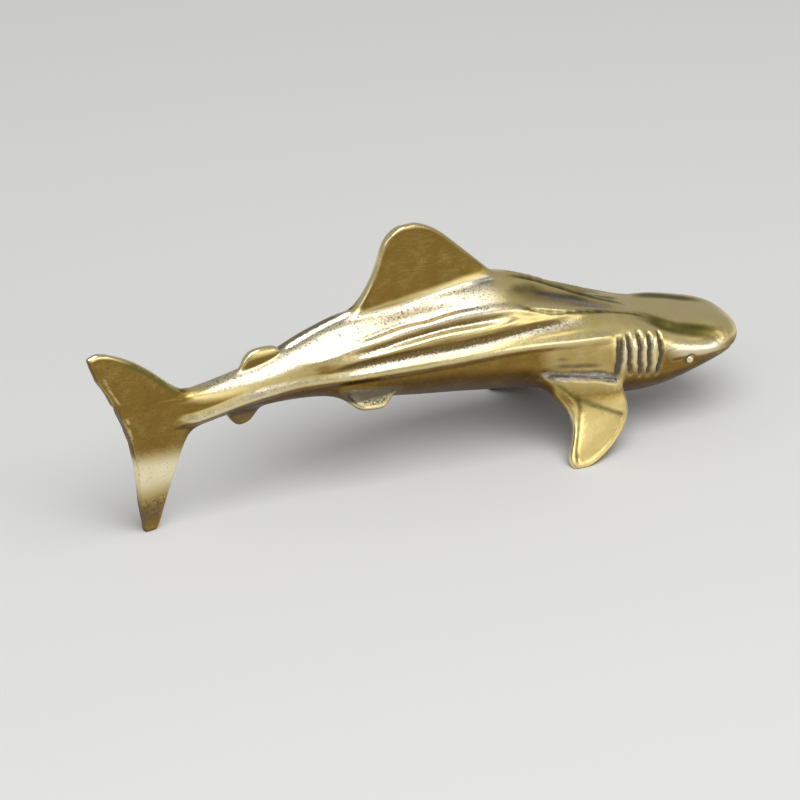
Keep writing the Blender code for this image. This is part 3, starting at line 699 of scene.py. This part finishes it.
body = len(bm.verts)
for side in (1, -1):
    centre = flankPoint(eye["place"], eye["height"], side)
    centre -= sideways(eye["place"]) * side * eye["sunk"]
    dome = bmesh.ops.create_uvsphere(bm, u_segments=32, v_segments=20, radius=eye["radius"])
    bmesh.ops.translate(bm, verts=dome["verts"], vec=centre)

sharkMesh = bpy.data.meshes.new("brassShark")
bm.to_mesh(sharkMesh)
bm.free()
places = np.array([v.co for v in sharkMesh.vertices])
middle = (places.min(axis=0) + places.max(axis=0)) / 2
middle[2] = 0
sharkMesh.vertices.foreach_set("co", ((places - middle) * 0.001).ravel())
sharkMesh.polygons.foreach_set("use_smooth", [True] * len(sharkMesh.polygons))
# the eye domes take full polish, with its painted glint
for name, values in fields.items():
    layer = sharkMesh.attributes.new(name, "FLOAT", "POINT")
    values = np.concatenate((values, np.full(len(places) - body, 1.0 if name == "polish" else 0.0)))
    layer.data.foreach_set("value", np.clip(values, 0, 1).astype(np.float32))
sharkMesh.update()
shark = bpy.data.objects.new("brassShark", sharkMesh)
bpy.context.scene.collection.objects.link(shark)
sharkMesh.calc_loop_triangles()
print("shark mesh finished,", len(sharkMesh.loop_triangles), "triangles")


class Sock:
    # a node's output, with arithmetic that adds Math nodes
    def __init__(self, tree, socket):
        self.tree, self.socket = tree, socket

    def math(self, operation, other):
        node = self.tree.nodes.new("ShaderNodeMath")
        node.operation = operation
        self.tree.links.new(self.socket, node.inputs[0])
        if isinstance(other, Sock):
            self.tree.links.new(other.socket, node.inputs[1])
        else:
            node.inputs[1].default_value = other
        return Sock(self.tree, node.outputs[0])

    def __add__(self, other):
        return self.math("ADD", other)

    def __sub__(self, other):
        return self.math("SUBTRACT", other)

    def __mul__(self, other):
        return self.math("MULTIPLY", other)

    def __rsub__(self, other):
        return self * -1 + other

    __radd__, __rmul__ = __add__, __mul__

    def atMost(self, limit):
        return self.math("MINIMUM", limit)

    def clamp(self):
        return self.atMost(1.0).math("MAXIMUM", 0.0)

    def between(self, low, high):
        return ((self - low) * (1 / (high - low))).clamp()


class Finish:
    # a node material with one method for any node
    def __init__(self, name):
        self.material = bpy.data.materials.new(name)
        self.material.use_nodes = True
        self.tree = self.material.node_tree
        self.tree.nodes.clear()
        self.output = self.tree.nodes.new("ShaderNodeOutputMaterial")

    def node(self, kind, settings=None, sockets=None, out=0):
        node = self.tree.nodes.new("ShaderNode" + kind)
        for key, value in (settings or {}).items():
            setattr(node, key, value)
        for key, value in (sockets or {}).items():
            if isinstance(value, Sock):
                self.tree.links.new(value.socket, node.inputs[key])
            else:
                node.inputs[key].default_value = value
        return Sock(self.tree, node.outputs[out])

    def mix(self, factor, first, second):
        return self.node("Mix", {"data_type": "RGBA"}, {0: factor, 6: first, 7: second}, out=2)

    def field(self, name):
        return self.node("Attribute", {"attribute_name": name}, out=2)

    def noise(self, where, scale, detail=2.0, roughness=0.5):
        sockets = {"Vector": where, "Scale": scale, "Detail": detail, "Roughness": roughness}
        return self.node("TexNoise", {}, sockets)

    def finishWith(self, **sockets):
        shader = self.node("BsdfPrincipled", {}, {k.replace("_", " "): v for k, v in sockets.items()})
        self.tree.links.new(shader.socket, self.output.inputs[0])
        return self.material


# brass colours: the palest and the silver are painted highlights, the dull and deep browns are painted shade
brass = {"bright": (0.90, 0.74, 0.33, 1), "warm": (0.85, 0.67, 0.26, 1), "pale": (0.98, 0.89, 0.63, 1),
         "shadeBrown": (0.27, 0.165, 0.034, 1), "deepShade": (0.105, 0.054, 0.009, 1),
         "green": (0.150, 0.140, 0.036, 1), "patina": (0.20, 0.145, 0.055, 1),
         "soot": (0.13, 0.105, 0.072, 1), "steel": (0.23, 0.245, 0.265, 1),
         "paintedSheen": (0.85, 0.78, 0.64, 1), "grit": (0.115, 0.095, 0.055, 1),
         "polished": 0.21, "satin": 0.31, "grainPerMm": 5.0, "speckPerMm": 3.6, "scratchPerMm": 7.0,
         "cloudPerMm": 0.55, "scratchStretch": (0.12, 1.0, 1.0),
         "grainDepth": 0.000010, "patinaDepth": 0.000024, "castDepth": 0.00004}


def castBrass():
    f = Finish("castBrass")
    where = f.node("VectorMath", {"operation": "SCALE"},
                   {0: f.node("TexCoord", out=3), "Scale": 1000.0})  # object coordinates in millimetres
    lengthwise = f.node("VectorMath", {"operation": "MULTIPLY"}, {0: where, 1: brass["scratchStretch"]})
    patina, paintedSheen, polish, pale = f.field("patina"), f.field("paintedSheen"), f.field("polish"), f.field("pale")
    tone, green, grit = f.field("tone"), f.field("green"), f.field("grit")
    soot, steel = f.field("soot"), f.field("steel")
    grain = f.noise(where, brass["grainPerMm"], 3.0, 0.6) - 0.5
    speck = f.noise(where, brass["speckPerMm"], 4.0, 0.7) - 0.5
    cloud = f.noise(where, brass["cloudPerMm"], 3.0, 0.5) - 0.5
    scratch = f.noise(lengthwise, brass["scratchPerMm"], 2.0, 0.5) - 0.5

    # bare metal, then painted highlights, painted shade and dark green over it
    uneven = cloud * 0.7 + scratch * 0.7 + speck * 0.5
    colour = f.mix((cloud * 3.0 + 0.5).clamp(), brass["bright"], brass["warm"])
    colour = f.mix((pale + pale * (speck + cloud) * 2.0 + polish * 0.5).clamp(), colour, brass["pale"])
    colour = f.mix((tone * 2.0 + uneven * tone).clamp(), colour, brass["shadeBrown"])
    colour = f.mix((tone * 2.0 - 1.0 + uneven * tone * 1.2 + grain * tone).clamp(), colour, brass["deepShade"])
    colour = f.mix((green * 0.9 + green * (speck + cloud) * 0.9).clamp(), colour, brass["green"])

    # patina in the grooves, with a painted silver-grey highlight where it looks up, and grey streaks with
    # painted glints
    tarnishAndSheen = f.mix((paintedSheen * 1.3 + grain * 5.0 - 0.35).clamp(), brass["patina"], brass["paintedSheen"])
    colour = f.mix((patina * 1.2 + patina * speck * 3.5).clamp(), colour, tarnishAndSheen)
    streak = f.mix((scratch * 2.2 + grain * 2.0 + polish * 0.3).clamp(), brass["steel"], brass["paintedSheen"])
    colour = f.mix((steel * 1.1 + steel * grain * 2.0).clamp(), colour, streak)

    # dark specks, and soot with painted shade in the deepest slits and at the fin roots
    specks = (grit + patina * 0.55).atMost(0.9)
    speckMask = (specks * 1.1 + speck * 4.5 - 0.95).between(0.0, 0.4) * specks.between(0.0, 0.2)
    colour = f.mix(speckMask * 0.8, colour, brass["grit"])
    sootAndShadeGrain = f.mix((grain * 6.0 - 0.7).clamp(), brass["soot"], brass["steel"])
    colour = f.mix((soot * 1.15 + soot * grain * 1.5).clamp(), colour, sootAndShadeGrain)

    roughness = (brass["satin"] - polish * (brass["satin"] - brass["polished"])
                 + patina * 0.06 + grain * 0.10 + scratch * 0.14)
    rise = (grain * (1.1 - polish) * brass["grainDepth"]
            + speck * (patina + soot * 0.5 + grit * 0.5) * brass["patinaDepth"]
            + cloud * brass["castDepth"] + scratch * 0.6 * brass["grainDepth"])
    bump = f.node("Bump", {}, {"Height": rise, "Distance": 1.0, "Strength": 1.0})
    return f.finishWith(Base_Color=colour, Metallic=1.0, Roughness=roughness, Normal=bump)


sharkMesh.materials.append(castBrass())
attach(shark, "root")
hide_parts("shark_figurine")
print("brass finish set")

# metres from here on
studio = {"floor": (0.74, 0.74, 0.73, 1), "floorRoughness": 0.9, "floorHalf": 3.0, "floorDrop": 0.00003,
          "world": 0.35}
floorMesh = bpy.data.meshes.new("floor")
reach = studio["floorHalf"]
floorMesh.from_pydata([(-reach, -reach, 0), (reach, -reach, 0), (reach, reach, 0), (-reach, reach, 0)],
                      [], [(0, 1, 2, 3)])
floor = bpy.data.objects.new("floor", floorMesh)
floor.location.z = -studio["floorDrop"]
bpy.context.scene.collection.objects.link(floor)
paleFloor = Finish("paleFloor").finishWith(Base_Color=studio["floor"], Roughness=studio["floorRoughness"])
floorMesh.materials.append(paleFloor)

world = bpy.data.worlds.new("studio")
world.use_nodes = True
world.node_tree.nodes["Background"].inputs["Color"].default_value = (1, 1, 1, 1)
world.node_tree.nodes["Background"].inputs["Strength"].default_value = studio["world"]
bpy.context.scene.world = world

# direction and height in degrees, distance and sides in metres, brightness
softboxes = {
    "overhead": dict(turn=-95, tilt=64, away=0.50, width=0.50, depth=0.46, glow=2.8),
    "leftFront": dict(turn=-158, tilt=32, away=0.55, width=0.34, depth=0.28, glow=0.9),
    "rightFront": dict(turn=-52, tilt=14, away=0.50, width=0.30, depth=0.20, glow=1.3),
}
for name, box in softboxes.items():
    turn, tilt = math.radians(box["turn"]), math.radians(box["tilt"])
    towards = Vector((math.cos(turn) * math.cos(tilt), math.sin(turn) * math.cos(tilt), math.sin(tilt)))
    lamp = bpy.data.lights.new(name, "AREA")
    lamp.shape, lamp.size, lamp.size_y = "RECTANGLE", box["width"], box["depth"]
    lamp.energy = math.pi * box["width"] * box["depth"] * box["glow"]
    softbox = bpy.data.objects.new(name, lamp)
    softbox.location = towards * box["away"]
    softbox.rotation_euler = (-towards).to_track_quat("-Z", "Y").to_euler()
    bpy.context.scene.collection.objects.link(softbox)

view = {"place": (-0.253518, -0.433021, 0.271615), "turn": (62.2087, -1.7050, -29.3638), "lens": 228.1,
        "sensor": 36.0, "nearest": 0.01, "farthest": 10.0}
camera = bpy.data.objects.new("camera", bpy.data.cameras.new("camera"))
camera.location = view["place"]
camera.rotation_euler = [math.radians(angle) for angle in view["turn"]]
camera.data.lens = view["lens"]
camera.data.sensor_width = view["sensor"]
camera.data.clip_start, camera.data.clip_end = view["nearest"], view["farthest"]
bpy.context.scene.collection.objects.link(camera)
bpy.context.scene.camera = camera
bpy.context.scene.view_settings.view_transform = "Standard"
print("stage set")
